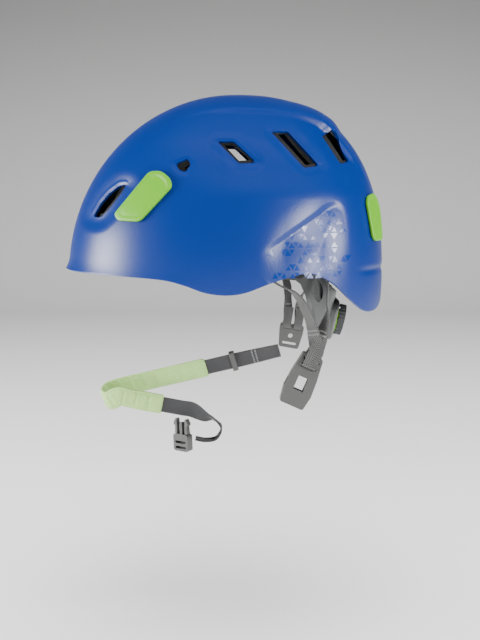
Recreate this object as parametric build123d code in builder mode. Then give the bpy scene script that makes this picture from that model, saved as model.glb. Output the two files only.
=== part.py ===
"""Climbing helmet: a moulded hard shell on a foam liner, with four headlamp clips, a headband,
a geared nape cradle and a webbing harness closed by a side-release buckle.

Frame: origin at the middle of the head opening, on the headform's reference plane.
+Z up, -Y the wearer's front, +X the wearer's left. Millimetres.
"""
import os
from math import cos, pi, radians, sin

from build123d import *

os.makedirs("parts", exist_ok=True)

# ---------------------------------------------------------------- shell form
dome_y = 9.0  # the widest point lies this far behind the origin
dome_front = 138.0  # from the widest point to the front, at the waist
dome_rear = 121.5  # from the widest point to the back, at the waist
dome_side = 105.0  # half width at the waist
dome_waist = -2.0  # height of the widest section
dome_top = 144.3  # height of the crown
front_round = 2.0  # roundness of the front, side and rear profiles: 2 is an ellipse
side_round = 2.15
rear_round = 2.45
plan_round = 2.25
front_splay = 0.13  # the front goes on opening below the waist, the sides and back close in
side_tuck = 0.002
rear_tuck = 0.0023
brim_flare = 5.0  # the brim's edge turns out
brim_band = 14.0  # over this height
form_bottom = -38.0

shell_wall = 2.4
foam_gap = 3.6
foam_wall = 16.0
foam_rise = 5.0  # the foam stops this far inside the rim
crown_split = 80.0

# ------------------------------------------------------------ fitting pieces
band_gap = 1.5
band_wall = 1.5
band_low = 4.0
band_high = 24.0
band_back = 46.0  # the front headband ends here
pad_gap = 0.5
pad_wall = 5.5
clip_stand = 0.9
clip_wall = 2.4
clip_post_r = 3.5
clip_post_air = 0.3

# ------------------------------------------------------------------- cradle
pin_y = 58.0
pin_z = 5.0
pin_r = 2.5
pin_fit = 0.05
pin_inner = 60.6
pin_flange_r = 4.6
pin_flange = 1.4
socket_r = 5.0
socket_in = 73.4
socket_out = 83.0
tighten = 10.0  # travel of the cradle and of each toothed tongue
loosen = 4.0
cradle_y = 48.0
cradle_wall = 2.0
cradle_high = 16.0
cradle_low = -62.0
cradle_side_high = 70.0
cradle_side_low = 50.0
cradle_rear_high = 52.0
cradle_rear_low = 34.0
cradle_round = 3.0

pod_tilt = 13.0
pod_y = 87.0
pod_z = -39.0
pod_half = 25.5
pod_height = 34.0
pod_wall = 1.8
pod_floor = 2.0
pod_depth = 4.8
pod_corner = 9.0
tongue_wall = 1.2
tongue_air = 0.3
tongue_height = 18.0
tongue_end = 12.5
gear_module = 0.9
gear_teeth = 10
shaft_r = 3.0
wheel_r = 13.0
wheel_wall = 5.4
wheel_air = 0.5
ring_r = 11.0
ring_wall = 2.2

# ------------------------------------------------------------------ harness
anchor_wide = 10.0
anchor_long = 9.0
anchor_high = 12.0
anchor_air = 0.1
webbing_width = 11.0
webbing_wall = 1.5
front_anchor = (86.5, 36.0, -2.0)  # middle of the strap's fold under the anchor
rear_anchor = (78.5, 80.0, -1.3)
yoke_x = 82.2
yoke_y = 61.0
yoke_z = -54.0
lean = 10.0
buckle_wide = 23.0
buckle_long = 42.0
buckle_thick = 9.4
buckle_lean = 24.0
buckle_back = 8.0  # the buckle hangs this far behind the yoke
buckle_drop = 3.6
mouth_wide = 17.6
mouth_thick = 5.4
mouth_deep = 25.0
chin_width = 15.0
chin_wall = 1.6
sleeve_width = 19.0
sleeve_wall = 5.0


# ------------------------------------------------------- the dome's own shape
def dome_reach(z, inset):
    """Front, rear and side reach of the section at height z, drawn in by inset."""
    if z >= dome_waist:
        rise = min((z - dome_waist) / (dome_top - inset - dome_waist), 1.0)
        front = (dome_front - inset) * (1 - rise**front_round) ** (1 / front_round)
        rear = (dome_rear - inset) * (1 - rise**rear_round) ** (1 / rear_round)
        side = (dome_side - inset) * (1 - rise**side_round) ** (1 / side_round)
    else:
        drop = dome_waist - z
        front = dome_front - inset + front_splay * drop
        rear = dome_rear - inset - rear_tuck * drop**2
        side = dome_side - inset - side_tuck * drop**2
    if z < brim_band:
        front += brim_flare * min((brim_band - z) / brim_band, 1.2) ** 2
    return front, rear, side


def power(value, exponent):
    """A signed power, for the rounded-oval sections."""
    return (abs(value) ** exponent) * (1 if value >= 0 else -1)


def oval(centre_y, front, rear, side, roundness, count=16):
    """Points of a rounded oval, longer to the front than to the rear."""
    points = []
    for step in range(count):
        turn = 2 * pi * step / count
        along = cos(turn)
        reach = rear if along >= 0 else front
        points.append((side * power(sin(turn), 2 / roundness), centre_y + reach * power(along, 2 / roundness)))
    return points


def dome_form(inset):
    """The solid dome, drawn in from the shell's outer face by inset."""
    crown = dome_top - inset
    heights = [form_bottom, -18, dome_waist]
    heights += [dome_waist + (crown - dome_waist) * sin(radians(a)) for a in (12, 25, 38, 51, 64, 75, 84)]
    with BuildPart() as form:
        for height in heights:
            front, rear, side = dome_reach(height, inset)
            with BuildSketch(Plane.XY.offset(height)):
                with BuildLine():
                    Spline(*oval(dome_y, front, rear, side, plan_round), periodic=True)
                make_face()
        loft()
    return form.part


def side_slab(points, low_x, high_x):
    """A solid with a side-view outline, (y, z), running across the helmet from low_x to high_x."""
    with BuildPart() as slab:
        with BuildSketch(Plane.YZ.offset(low_x)):
            with BuildLine():
                Polyline(*points, close=True)
            make_face()
        extrude(amount=high_x - low_x)
    return slab.part


outer_form = dome_form(0)
inner_form = dome_form(shell_wall)
foam_outer = shell_wall + foam_gap
foam_inner = foam_outer + foam_wall
foam_outer_form = dome_form(foam_outer)
foam_inner_form = dome_form(foam_inner)
band_outer = foam_inner + band_gap
band_inner = band_outer + band_wall
pad_outer = band_inner + pad_gap
pad_inner = pad_outer + pad_wall
full_width = 2 * dome_side + 40


def rim_slab(rise):
    """Everything above the helmet's lower edge, seen from the side, with the edge raised by rise."""
    edge = [(-100, 3), (-50, 0.5), (-30, -3.5), (-14, -9), (2, -11), (17, -9), (36, -2), (58, 4.2), (71, 3.5)]
    edge += [(84, -3.5), (97, -16), (110, -27), (121, -28), (128, -23)]
    with BuildPart() as slab:
        with BuildSketch(Plane.YZ.offset(-full_width / 2)):
            with BuildLine():
                lower = Spline(*[(y, z + rise) for y, z in edge])
                Polyline((-160, 4 + rise), lower @ 0)
                Polyline(lower @ 1, (134, -14 + rise), (160, -14 + rise), (160, 170), (-160, 170), (-160, 4 + rise))
            make_face()
        extrude(amount=full_width)
    return slab.part


rim_keep = rim_slab(0)
foam_keep = rim_slab(foam_rise)

# Ventilation openings of one side, as side-view outlines (y, z).
front_vent = [(-104, 47), (-94, 49), (-79, 66), (-75.5, 72.5), (-86, 70), (-98, 59)]
small_vent = [(-36, 87), (-27, 91), (-25, 86), (-29, 81), (-35, 83.5)]
upper_vent = [(-4, 106), (8, 106), (25, 90), (12, 89)]
long_slot = [(38, 114), (51, 115), (75, 88), (63, 86)]
rear_slot = [(80, 112), (88, 114), (102, 92), (94, 90)]
vent_inner_x = 18.0
vent_cuts = []
for outline in (front_vent, small_vent, upper_vent, long_slot, rear_slot):
    vent_cuts.append(side_slab(outline, vent_inner_x, full_width / 2))
    vent_cuts.append(side_slab(outline, -full_width / 2, -vent_inner_x))

# ------------------------------------------------------------------ the shell
with BuildPart() as outer_shell:
    add(outer_form)
    add(inner_form, mode=Mode.SUBTRACT)
    add(rim_keep, mode=Mode.INTERSECT)
    add(vent_cuts, mode=Mode.SUBTRACT)
outer_shell.part.label = "outer_shell"
export_step(outer_shell.part, "parts/outer_shell.step")

# -------------------------------------------------------------- the foam liner
# The cradle's pin sockets and the four strap anchors are let into the liner.
with BuildPart() as foam_liner:
    add(foam_outer_form)
    add(foam_inner_form, mode=Mode.SUBTRACT)
    add(foam_keep, mode=Mode.INTERSECT)
    with BuildSketch(Plane.XY.offset(crown_split)):
        Rectangle(400, 400)
    extrude(amount=100, mode=Mode.SUBTRACT)
    add(vent_cuts, mode=Mode.SUBTRACT)
    with BuildSketch(Plane.YZ.offset(-socket_out)):
        with Locations((pin_y, pin_z)):
            Circle(socket_r)
    extrude(amount=2 * socket_out, mode=Mode.SUBTRACT)
    for side in (1, -1):
        for place in (front_anchor, rear_anchor):
            with BuildSketch(Plane.XY.offset(place[2] - 1)):
                with Locations((side * place[0], place[1])):
                    RectangleRounded(anchor_wide + 2 * anchor_air, anchor_long + 2 * anchor_air, 1.5)
            extrude(amount=anchor_high + 1 + anchor_air, mode=Mode.SUBTRACT)
foam_liner.part.label = "foam_liner"
export_step(foam_liner.part, "parts/foam_liner.step")

with BuildPart() as crown_foam:
    add(foam_outer_form)
    add(foam_inner_form, mode=Mode.SUBTRACT)
    with BuildSketch(Plane.XY.offset(crown_split)):
        Rectangle(400, 400)
    extrude(amount=100, mode=Mode.INTERSECT)
    add(vent_cuts, mode=Mode.SUBTRACT)
crown_foam.part.label = "crown_foam"
export_step(crown_foam.part, "parts/crown_foam.step")

# --------------------------------------------------------- headlamp clips
# Each clip is a curved tab that stands off the shell and is held at its upper end by a post.
clip_inner_form = dome_form(-clip_stand)
clip_outer_form = dome_form(-clip_stand - clip_wall)
post_outer_form = dome_form(-clip_stand + clip_post_air)


def front_clip_outline():
    """Side view (y, z) of a front clip: a tab that narrows downwards."""
    return [(-82, 48), (-79, 43.5), (-62, 43), (-37.5, 69), (-39, 75), (-46, 80.5), (-55, 80)]


def rear_clip_outline(side):
    """Rear view (x, z) of a rear clip."""
    tab = [(56, 31), (52, 27), (37, 27), (30, 52), (32, 60), (38, 64), (50, 62), (55, 56)]
    return [(side * x, z) for x, z in tab]


clip_corner = 2.5
front_post = (-46.0, 74.0)
rear_post = (42.0, 58.0)
clip_reach = 75.0

for name, side in (("left", 1), ("right", -1)):
    with BuildPart() as front_clip:
        with BuildSketch(Plane.YZ.offset(side * (dome_side + 20))):
            with BuildLine():
                Polyline(*front_clip_outline(), close=True)
            make_face()
            fillet(vertices(), clip_corner)
        extrude(amount=-side * clip_reach)
        add(clip_outer_form, mode=Mode.INTERSECT)
        add(clip_inner_form, mode=Mode.SUBTRACT)
    front_clip.part.label = f"headlamp_clip_front_{name}"
    export_step(front_clip.part, f"parts/headlamp_clip_front_{name}.step")

    with BuildPart() as rear_clip:
        with BuildSketch(Plane.XZ.offset(-dome_rear - 40)):
            with BuildLine():
                Polyline(*rear_clip_outline(side), close=True)
            make_face()
            fillet(vertices(), clip_corner)
        extrude(amount=clip_reach + 30)
        add(clip_outer_form, mode=Mode.INTERSECT)
        add(clip_inner_form, mode=Mode.SUBTRACT)
    rear_clip.part.label = f"headlamp_clip_rear_{name}"
    export_step(rear_clip.part, f"parts/headlamp_clip_rear_{name}.step")

# The posts sit on the shell under the upper end of each tab.
with BuildPart() as clip_posts:
    for side in (1, -1):
        with BuildSketch(Plane.YZ.offset(side * (dome_side + 20))):
            with Locations(front_post):
                Circle(clip_post_r)
        extrude(amount=-side * clip_reach)
        with BuildSketch(Plane.XZ.offset(-dome_rear - 40)):
            with Locations((side * rear_post[0], rear_post[1])):
                Circle(clip_post_r)
        extrude(amount=clip_reach + 30)
    add(post_outer_form, mode=Mode.INTERSECT)
    add(outer_form, mode=Mode.SUBTRACT)
clip_posts.part.label = "clip_posts"
export_step(clip_posts.part, "parts/clip_posts.step")


# ------------------------------------------------ headband and comfort pads
def ring_section(inset, height):
    """Points of the head opening's outline, drawn in by inset, at a height."""
    front, rear, side = dome_reach(height, inset)
    return oval(dome_y, front, rear, side, plan_round)


def arc_band(outer_inset, inner_inset, low, high, keep):
    """An upright band between two outlines, cut to the part inside the keep solid."""
    with BuildPart() as band:
        with BuildSketch(Plane.XY.offset(low)):
            with BuildLine():
                Spline(*ring_section(outer_inset, high), periodic=True)
            make_face()
            with BuildLine(mode=Mode.PRIVATE) as hole:
                Spline(*ring_section(inner_inset, high), periodic=True)
            add(make_face(hole.edges(), mode=Mode.PRIVATE), mode=Mode.SUBTRACT)
        extrude(amount=high - low)
        add(keep, mode=Mode.INTERSECT)
    return band.part


def keep_box(low, high):
    """A box between two corners, used to trim a band to its stretch."""
    with BuildPart() as block:
        with BuildSketch(Plane.XY.offset(low[2])):
            with Locations(((low[0] + high[0]) / 2, (low[1] + high[1]) / 2)):
                Rectangle(high[0] - low[0], high[1] - low[1])
        extrude(amount=high[2] - low[2])
    return block.part


with BuildPart() as headband:
    add(arc_band(band_outer, band_inner, band_low, band_high, keep_box((-120, -200, -50), (120, band_back, 60))))
headband.part.label = "headband"
export_step(headband.part, "parts/headband.step")

pad_low = band_low + 1
pad_high = band_high + 3
with BuildPart() as brow_pad:
    add(arc_band(pad_outer, pad_inner, pad_low, pad_high, keep_box((-62, -200, -50), (62, -20, 60))))
brow_pad.part.label = "brow_pad"
export_step(brow_pad.part, "parts/brow_pad.step")

side_pad_front = -32.0
side_pad_back = 34.0
for name, low_x, high_x in (("left", 0, 120), ("right", -120, 0)):
    with BuildPart() as side_pad:
        stretch = keep_box((low_x, side_pad_front, -50), (high_x, side_pad_back, 60))
        add(arc_band(pad_outer, pad_inner, pad_low, pad_high - 6, stretch))
    side_pad.part.label = f"side_pad_{name}"
    export_step(side_pad.part, f"parts/side_pad_{name}.step")

crown_pad_half = 26.0
crown_pad_long = 74.0
crown_pad_form_outer = dome_form(foam_inner + pad_gap)
crown_pad_form_inner = dome_form(foam_inner + pad_gap + pad_wall)
with BuildPart() as crown_pad:
    with BuildSketch(Plane.XY.offset(crown_split)):
        with Locations((0, dome_y)):
            RectangleRounded(2 * crown_pad_half, crown_pad_long, crown_pad_half - 6)
    extrude(amount=dome_top)
    add(crown_pad_form_outer, mode=Mode.INTERSECT)
    add(crown_pad_form_inner, mode=Mode.SUBTRACT)
crown_pad.part.label = "crown_pad"
export_step(crown_pad.part, "parts/crown_pad.step")


# --------------------------------------------------- cradle pins and sockets
# A moulded socket in the liner holds each pin. The cradle's arm hangs on the pin by a slot.
for name, side in (("left", 1), ("right", -1)):
    with BuildPart() as socket:
        with BuildSketch(Plane.YZ.offset(side * socket_in)):
            with Locations((pin_y, pin_z)):
                Circle(socket_r)
                Circle(pin_r + pin_fit, mode=Mode.SUBTRACT)
        extrude(amount=side * (socket_out - socket_in))
    socket.part.label = f"pin_socket_{name}"
    export_step(socket.part, f"parts/pin_socket_{name}.step")

    with BuildPart() as pin:
        with BuildSketch(Plane.YZ.offset(side * pin_inner)):
            with Locations((pin_y, pin_z)):
                Circle(pin_flange_r)
        extrude(amount=side * pin_flange)
        with BuildSketch(Plane.YZ.offset(side * pin_inner)):
            with Locations((pin_y, pin_z)):
                Circle(pin_r)
        extrude(amount=side * (socket_out - pin_inner - 1))
    pin.part.label = f"cradle_pin_{name}"
    export_step(pin.part, f"parts/cradle_pin_{name}.step")

# ------------------------------------------------------------- nape cradle
tilt = radians(pod_tilt)
pod_plane = Plane(origin=(0, pod_y, pod_z), x_dir=(-1, 0, 0), z_dir=(0, cos(tilt), -sin(tilt)))


def cradle_form(inset):
    """The flared nape surface that the cradle's arms follow."""
    with BuildPart() as form:
        for height, side, rear in (
            (cradle_low, cradle_side_low, cradle_rear_low),
            (cradle_high, cradle_side_high, cradle_rear_high),
        ):
            with BuildSketch(Plane.XY.offset(height)):
                with BuildLine():
                    Spline(*oval(cradle_y, side, rear - inset, side - inset, cradle_round), periodic=True)
                make_face()
        loft(ruled=True)
    return form.part


cradle_outer_form = cradle_form(0)
cradle_inner_form = cradle_form(cradle_wall)
arm_outline = [(46, 13), (46, -2), (56, -3), (60, -6), (66, -15), (71, -27), (74, -40), (77, -53), (80, -61), (92, -61)]
arm_outline += [(104, -30), (98, -20), (88, -12), (80, -4), (74, 8), (67, 13)]
arm_keep = side_slab(arm_outline, -full_width / 2, full_width / 2)
pin_slot_height = 2 * (pin_r + pin_fit)

with BuildPart() as cradle_frame:
    add(cradle_outer_form)
    add(cradle_inner_form, mode=Mode.SUBTRACT)
    add(arm_keep, mode=Mode.INTERSECT)
    # The middle is open above the pod.
    with BuildSketch(Plane.XZ.offset(-200)):
        with BuildLine():
            Polyline((-53, 20), (-44, 0), (-22, -16), (22, -16), (44, 0), (53, 20), close=True)
        make_face()
    extrude(amount=150, mode=Mode.SUBTRACT)
    # Long slots for the pins, an oval window and a small square one in each arm.
    for side in (1, -1):
        with BuildSketch(Plane.YZ.offset(side * 40)):
            with Locations((pin_y + (tighten - loosen) / 2, pin_z)):
                SlotCenterToCenter(tighten + loosen, pin_slot_height)
            with Locations((74, -12)):
                Ellipse(4.2, 8.6, rotation=8)
        extrude(amount=side * 50, mode=Mode.SUBTRACT)
    # The pod's floor, with a tab that runs down the nape.
    with BuildSketch(pod_plane.offset(-pod_floor - pod_wall)):
        RectangleRounded(2 * pod_half, pod_height, pod_corner)
        with Locations((0, -pod_height / 2 - 2)):
            RectangleRounded(30, 18, 6)
    extrude(amount=pod_wall)
    with BuildSketch(pod_plane.offset(-pod_floor)):
        RectangleRounded(2 * pod_half - 2 * pod_wall, pod_height - 2 * pod_wall, pod_corner - pod_wall)
    extrude(amount=pod_floor + pod_depth, mode=Mode.SUBTRACT)
    with BuildSketch(pod_plane.offset(-pod_floor)):
        RectangleRounded(2 * pod_half + 0.4, pod_height + 0.4, pod_corner)
    extrude(amount=pod_floor + pod_depth, mode=Mode.SUBTRACT)
cradle_frame.part.label = "cradle_frame"
export_step(cradle_frame.part, "parts/cradle_frame.step")

with BuildPart() as cradle_cover:
    with BuildSketch(pod_plane.offset(-pod_floor)):
        RectangleRounded(2 * pod_half, pod_height, pod_corner)
    extrude(amount=pod_floor + pod_depth)
    fillet(cradle_cover.faces().sort_by(Axis(pod_plane.origin, pod_plane.z_dir))[-1].edges(), 2.2)
    with BuildSketch(pod_plane.offset(-pod_floor)):
        RectangleRounded(2 * pod_half - 2 * pod_wall, pod_height - 2 * pod_wall, pod_corner - pod_wall)
    extrude(amount=pod_floor + pod_depth - pod_wall, mode=Mode.SUBTRACT)
    with BuildSketch(pod_plane.offset(-pod_floor)):
        Circle(shaft_r + pin_fit)
    extrude(amount=pod_floor + pod_depth + 1, mode=Mode.SUBTRACT)
cradle_cover.part.label = "cradle_cover"
export_step(cradle_cover.part, "parts/cradle_cover.step")

nape_pad_wall = 5.0
with BuildPart() as nape_pad:
    with BuildSketch(pod_plane.offset(-pod_floor - pod_wall - pad_gap - nape_pad_wall)):
        RectangleRounded(46, 30, 8)
        with Locations((0, -17)):
            RectangleRounded(26, 16, 6)
    extrude(amount=nape_pad_wall)
nape_pad.part.label = "nape_pad"
export_step(nape_pad.part, "parts/nape_pad.step")

# ------------------------------------------------- toothed tongues and pinion
# Two toothed tongues lie one on the other in the pod. The pinion stands in their windows, in mesh
# with the upper row of one and the lower row of the other, so one turn draws both of them in.
pitch_r = gear_module * gear_teeth / 2
tooth_pitch = pi * gear_module
tip_height = 0.8 * gear_module
root_depth = 1.05 * gear_module
tooth_half = 0.17 * tooth_pitch
tip_half = 0.09 * tooth_pitch
tongue_tooth_half = 0.19 * tooth_pitch
window_end = pitch_r + tip_height + 0.6
window_long = tighten + loosen + 2 * window_end


def tongue_sketch(side, row):
    """One tongue in the pod's plane: side is the way it leaves the pod, row the toothed side."""
    along = -side  # the pod plane's x axis runs to the wearer's right
    outer_end = pod_half - pod_wall - tongue_air - loosen
    window_start = -window_end - loosen
    root_line = pitch_r + root_depth
    with BuildSketch() as tongue:
        with Locations((along * (outer_end - tongue_end) / 2, 0)):
            RectangleRounded(outer_end + tongue_end, tongue_height, 2)
        with Locations((along * (window_start + window_long / 2), 0)):
            Rectangle(window_long, 2 * root_line, mode=Mode.SUBTRACT)
        first = int((window_start + 1) / tooth_pitch)
        last = int((window_start + window_long - 1) / tooth_pitch)
        for number in range(first, last + 1):
            x = along * number * tooth_pitch
            with BuildLine():
                Polyline(
                    (x - rack_root_half, row * (root_line + 0.4)),
                    (x - rack_root_half, row * root_line),
                    (x - rack_tip_half, row * (pitch_r - tip_height)),
                    (x + rack_tip_half, row * (pitch_r - tip_height)),
                    (x + rack_root_half, row * root_line),
                    (x + rack_root_half, row * (root_line + 0.4)),
                    close=True,
                )
            make_face()
    return tongue.sketch


rack_tip_half = tongue_tooth_half - tip_height * 0.36
rack_root_half = tongue_tooth_half + root_depth * 0.36
lower_layer = -pod_floor + tongue_air
upper_layer = lower_layer + tongue_wall + tongue_air
for name, side, row, layer in (("left", 1, -1, lower_layer), ("right", -1, 1, upper_layer)):
    with BuildPart() as tongue:
        with BuildSketch(pod_plane.offset(layer)):
            add(tongue_sketch(side, row))
        extrude(amount=tongue_wall)
    tongue.part.label = f"toothed_tongue_{name}"
    export_step(tongue.part, f"parts/toothed_tongue_{name}.step")

pinion_low = lower_layer - 0.1
pinion_high = upper_layer + tongue_wall + 0.1
with BuildPart() as pinion:
    with BuildSketch(pod_plane.offset(pinion_low)):
        Circle(pitch_r - root_depth)
        with PolarLocations(0, gear_teeth):
            Polygon(
                (shaft_r - 1, -tooth_half),
                (pitch_r, -tooth_half),
                (pitch_r + tip_height, -tip_half),
                (pitch_r + tip_height, tip_half),
                (pitch_r, tooth_half),
                (shaft_r - 1, tooth_half),
                align=None,
            )
    extrude(amount=pinion_high - pinion_low)
pinion.part.label = "pinion"
export_step(pinion.part, "parts/pinion.step")

# A flat click ring lies on the pinion and rubs on the cover.
click_gap = 0.15
click_wall = 0.8
with BuildPart() as click_ring:
    with BuildSketch(pod_plane.offset(pod_depth - pod_wall - click_gap - click_wall)):
        Circle(8.5)
        Circle(shaft_r + 0.4, mode=Mode.SUBTRACT)
        with PolarLocations(6.1, 3):
            SlotCenterToCenter(3.2, 1.2, rotation=90, mode=Mode.SUBTRACT)
    extrude(amount=click_wall)
click_ring.part.label = "click_ring"
export_step(click_ring.part, "parts/click_ring.step")

# The wheel's shaft passes the cover and stands on the pinion.
wheel_low = pod_depth + wheel_air + ring_wall
with BuildPart() as adjuster_wheel:
    with BuildSketch(pod_plane.offset(wheel_low)):
        Circle(wheel_r)
        with PolarLocations(wheel_r + 0.5, 24):
            Circle(1.1, mode=Mode.SUBTRACT)
    extrude(amount=wheel_wall)
    with BuildSketch(pod_plane.offset(wheel_low + wheel_wall)):
        Circle(wheel_r - 3.5)
    extrude(amount=-1.2, taper=-30, mode=Mode.SUBTRACT)
    with BuildSketch(pod_plane.offset(pinion_high)):
        Circle(shaft_r)
    extrude(amount=wheel_low - pinion_high)
adjuster_wheel.part.label = "adjuster_wheel"
export_step(adjuster_wheel.part, "parts/adjuster_wheel.step")

with BuildPart() as wheel_ring:
    with BuildSketch(pod_plane.offset(pod_depth + wheel_air)):
        Circle(ring_r)
        Circle(shaft_r, mode=Mode.SUBTRACT)
    extrude(amount=ring_wall)
wheel_ring.part.label = "wheel_ring"
export_step(wheel_ring.part, "parts/wheel_ring.step")

# Tension straps run inside the arms from the tongues to the pins.
strap_form_outer = cradle_form(cradle_wall + 0.3)
strap_form_inner = cradle_form(cradle_wall + 1.2)
tension_route = [(72.5, 2), (76, -8), (79, -18), (80.5, -26)]
for name, side in (("left", 1), ("right", -1)):
    with BuildPart() as tension_strap:
        with BuildSketch(Plane.YZ.offset(side * 34)):
            with BuildLine():
                Polyline(*tension_route)
            trace(line_width=5)
        extrude(amount=side * 50)
        add(strap_form_outer, mode=Mode.INTERSECT)
        add(strap_form_inner, mode=Mode.SUBTRACT)
    tension_strap.part.label = f"tension_strap_{name}"
    export_step(tension_strap.part, f"parts/tension_strap_{name}.step")

# Four small screws hold the cover to the pod's floor, in its corners.
screw_x = pod_half - 5.0
screw_y = pod_height / 2 - 5.0
with BuildPart() as cover_screws:
    with BuildSketch(pod_plane.offset(pod_depth + 0.02)):
        with GridLocations(2 * screw_x, 2 * screw_y, 2, 2):
            Circle(1.7)
    extrude(amount=0.8)
cover_screws.part.label = "cover_screws"
export_step(cover_screws.part, "parts/cover_screws.step")


# ------------------------------------------------------------------ harness
# Straps run down the side from two anchors to the yoke, lying edge-on to the side.
def ribbon(points, bend, wall, low_x, high_x):
    """A flat strap that follows a side-view route (y, z) and is as wide as low_x to high_x."""
    with BuildPart() as strap:
        with BuildSketch(Plane.YZ.offset(low_x)):
            with BuildLine():
                FilletPolyline(*points, radius=bend)
            trace(line_width=wall)
        extrude(amount=high_x - low_x)
    return strap.part


strap_half = webbing_width / 2
front_route = [(36.5, -3.2), (45, -7.5), (53, -18), (58, -33), (61, -52.5)]
rear_route = [(79.5, -2.6), (79, -16), (75, -34), (66.5, -52.5)]

for side_name, side in (("left", 1), ("right", -1)):
    for name, place in (("front", front_anchor), ("rear", rear_anchor)):
        with BuildPart() as anchor:
            with BuildSketch(Plane.XY.offset(place[2])):
                with Locations((side * place[0], place[1])):
                    RectangleRounded(anchor_wide, anchor_long, 1.5)
            extrude(amount=anchor_high)
        anchor.part.label = f"strap_anchor_{name}_{side_name}"
        export_step(anchor.part, f"parts/strap_anchor_{name}_{side_name}.step")
    for name, place, route in (("front", front_anchor, front_route), ("rear", rear_anchor, rear_route)):
        with BuildPart() as webbing:
            edges_x = sorted((side * (place[0] - strap_half), side * (place[0] + strap_half)))
            add(ribbon(route, 5, webbing_wall, *edges_x))
        webbing.part.label = f"strap_{name}_{side_name}"
        export_step(webbing.part, f"parts/strap_{name}_{side_name}.step")

slope = radians(lean)
buckle_top = yoke_z - webbing_wall - 0.3
buckle_slope = radians(buckle_lean)
buckle_plane = Plane(
    origin=(yoke_x, yoke_y + buckle_back, buckle_top - buckle_drop),
    x_dir=(0, cos(buckle_slope), -sin(buckle_slope)),
    z_dir=(1, 0, 0),
)

# The female half: a flat box with a mouth below, a window in its face, side windows for the
# prongs' heads, and two bars above for the straps.
with BuildPart() as buckle_female:
    with BuildSketch(buckle_plane.offset(-buckle_thick / 2)):
        with BuildLine():
            Polyline(
                (-buckle_wide * 0.36, 0),
                (buckle_wide * 0.36, 0),
                (buckle_wide * 0.46, -buckle_long * 0.4),
                (buckle_wide / 2, -buckle_long * 0.72),
                (buckle_wide * 0.42, -buckle_long),
                (-buckle_wide * 0.42, -buckle_long),
                (-buckle_wide / 2, -buckle_long * 0.72),
                (-buckle_wide * 0.46, -buckle_long * 0.4),
                close=True,
            )
        make_face()
        fillet(vertices(), 1.6)
    extrude(amount=buckle_thick)
    # Two strap slots above, right through the thickness.
    with BuildSketch(buckle_plane.offset(-buckle_thick)):
        with Locations((0, -3.6), (0, -9.4)):
            SlotOverall(13, 2.6)
        with Locations((0, -buckle_long * 0.56)):
            Rectangle(8, 11)
    extrude(amount=2 * buckle_thick, mode=Mode.SUBTRACT)
    # The mouth for the prongs, and the side windows that their heads spring into.
    with BuildSketch(buckle_plane.offset(-mouth_thick / 2)):
        with Locations((0, -buckle_long + mouth_deep / 2 - 0.5)):
            Rectangle(mouth_wide, mouth_deep + 1)
        with Locations((0, -buckle_long * 0.62)):
            Rectangle(buckle_wide + 4, 7)
    extrude(amount=mouth_thick, mode=Mode.SUBTRACT)
buckle_female.part.label = "buckle_female"
export_step(buckle_female.part, "parts/buckle_female.step")

# The right side carries a plain yoke plate with three bars.
divider_plane = Plane(origin=(-yoke_x, yoke_y, buckle_top), x_dir=(0, cos(slope), -sin(slope)), z_dir=(1, 0, 0))
divider_wide = 22.0
divider_long = 22.0
divider_thick = 4.0
with BuildPart() as strap_divider:
    with BuildSketch(divider_plane.offset(-divider_thick / 2)):
        with BuildLine():
            Polyline(
                (-divider_wide / 2, 0),
                (divider_wide / 2, 0),
                (divider_wide / 2, -7),
                (chin_width / 2 + 1.5, -divider_long),
                (-chin_width / 2 - 1.5, -divider_long),
                (-divider_wide / 2, -7),
                close=True,
            )
        make_face()
        fillet(vertices(), 2)
        with Locations((-5.2, -3.8), (5.2, -3.8)):
            SlotOverall(8.4, 2.4, mode=Mode.SUBTRACT)
        with Locations((0, -divider_long + 4)):
            SlotOverall(13, 2.6, mode=Mode.SUBTRACT)
        with Locations((0, -11)):
            Circle(2.2, mode=Mode.SUBTRACT)
    extrude(amount=divider_thick)
strap_divider.part.label = "strap_divider"
export_step(strap_divider.part, "parts/strap_divider.step")

# The chin strap lies in a loop: forward from the yoke, round, back, and folded down to the buckle.
chin_air = 1.0
chin_top = divider_plane.from_local_coords((0, -divider_long - chin_air, 0))
chin_plane = Plane(origin=chin_top, x_dir=(-0.08, -0.965, -0.25), z_dir=(0.3, -0.25, 0.92))
leg_long = 164.0
turn_r = 12.0
sleeve_start = 78.0
sleeve_back = 60.0
return_long = 76.0


def loop_sketch(start, back, wall):
    """The loop's outline in its own plane: a leg, a half turn and a stretch back."""
    with BuildSketch() as outline:
        with BuildLine():
            leg = Line((start, 0), (leg_long, 0))
            turn = RadiusArc(leg @ 1, (leg_long, 2 * turn_r), -turn_r)
            Line(turn @ 1, (leg_long - back, 2 * turn_r))
        trace(line_width=wall)
    return outline.sketch


back_start = chin_plane.from_local_coords((leg_long - 10, 2 * turn_r, 0))
back_plane = Plane(origin=back_start, x_dir=(-0.05, 0.98, -0.19), z_dir=(0.2, 0.2, 0.95))
fold_x = back_start.X - 1.5
fold_route = [(-32, -139), (-13, -143), (-4, -152), (-13, -163), (-28.5, -161)]


def chin_run(wall, width, start, back):
    """The chin strap's run of a given wall and width, from start on the first leg to back on the last."""
    with BuildPart() as run:
        with BuildSketch(chin_plane.offset(-width / 2)):
            add(loop_sketch(start, 10, wall))
        extrude(amount=width)
        with BuildSketch(back_plane.offset(-width / 2)):
            with Locations((back / 2 - 1, 0)):
                Rectangle(back, wall)
        extrude(amount=width)
    return run.part


chin_start = 9.0
with BuildPart() as chin_strap:
    add(chin_run(chin_wall, chin_width, chin_start, return_long))
    add(ribbon(fold_route, 4, chin_wall, fold_x - chin_width / 2, fold_x + chin_width / 2))
chin_strap.part.label = "chin_strap"
export_step(chin_strap.part, "parts/chin_strap.step")

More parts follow.
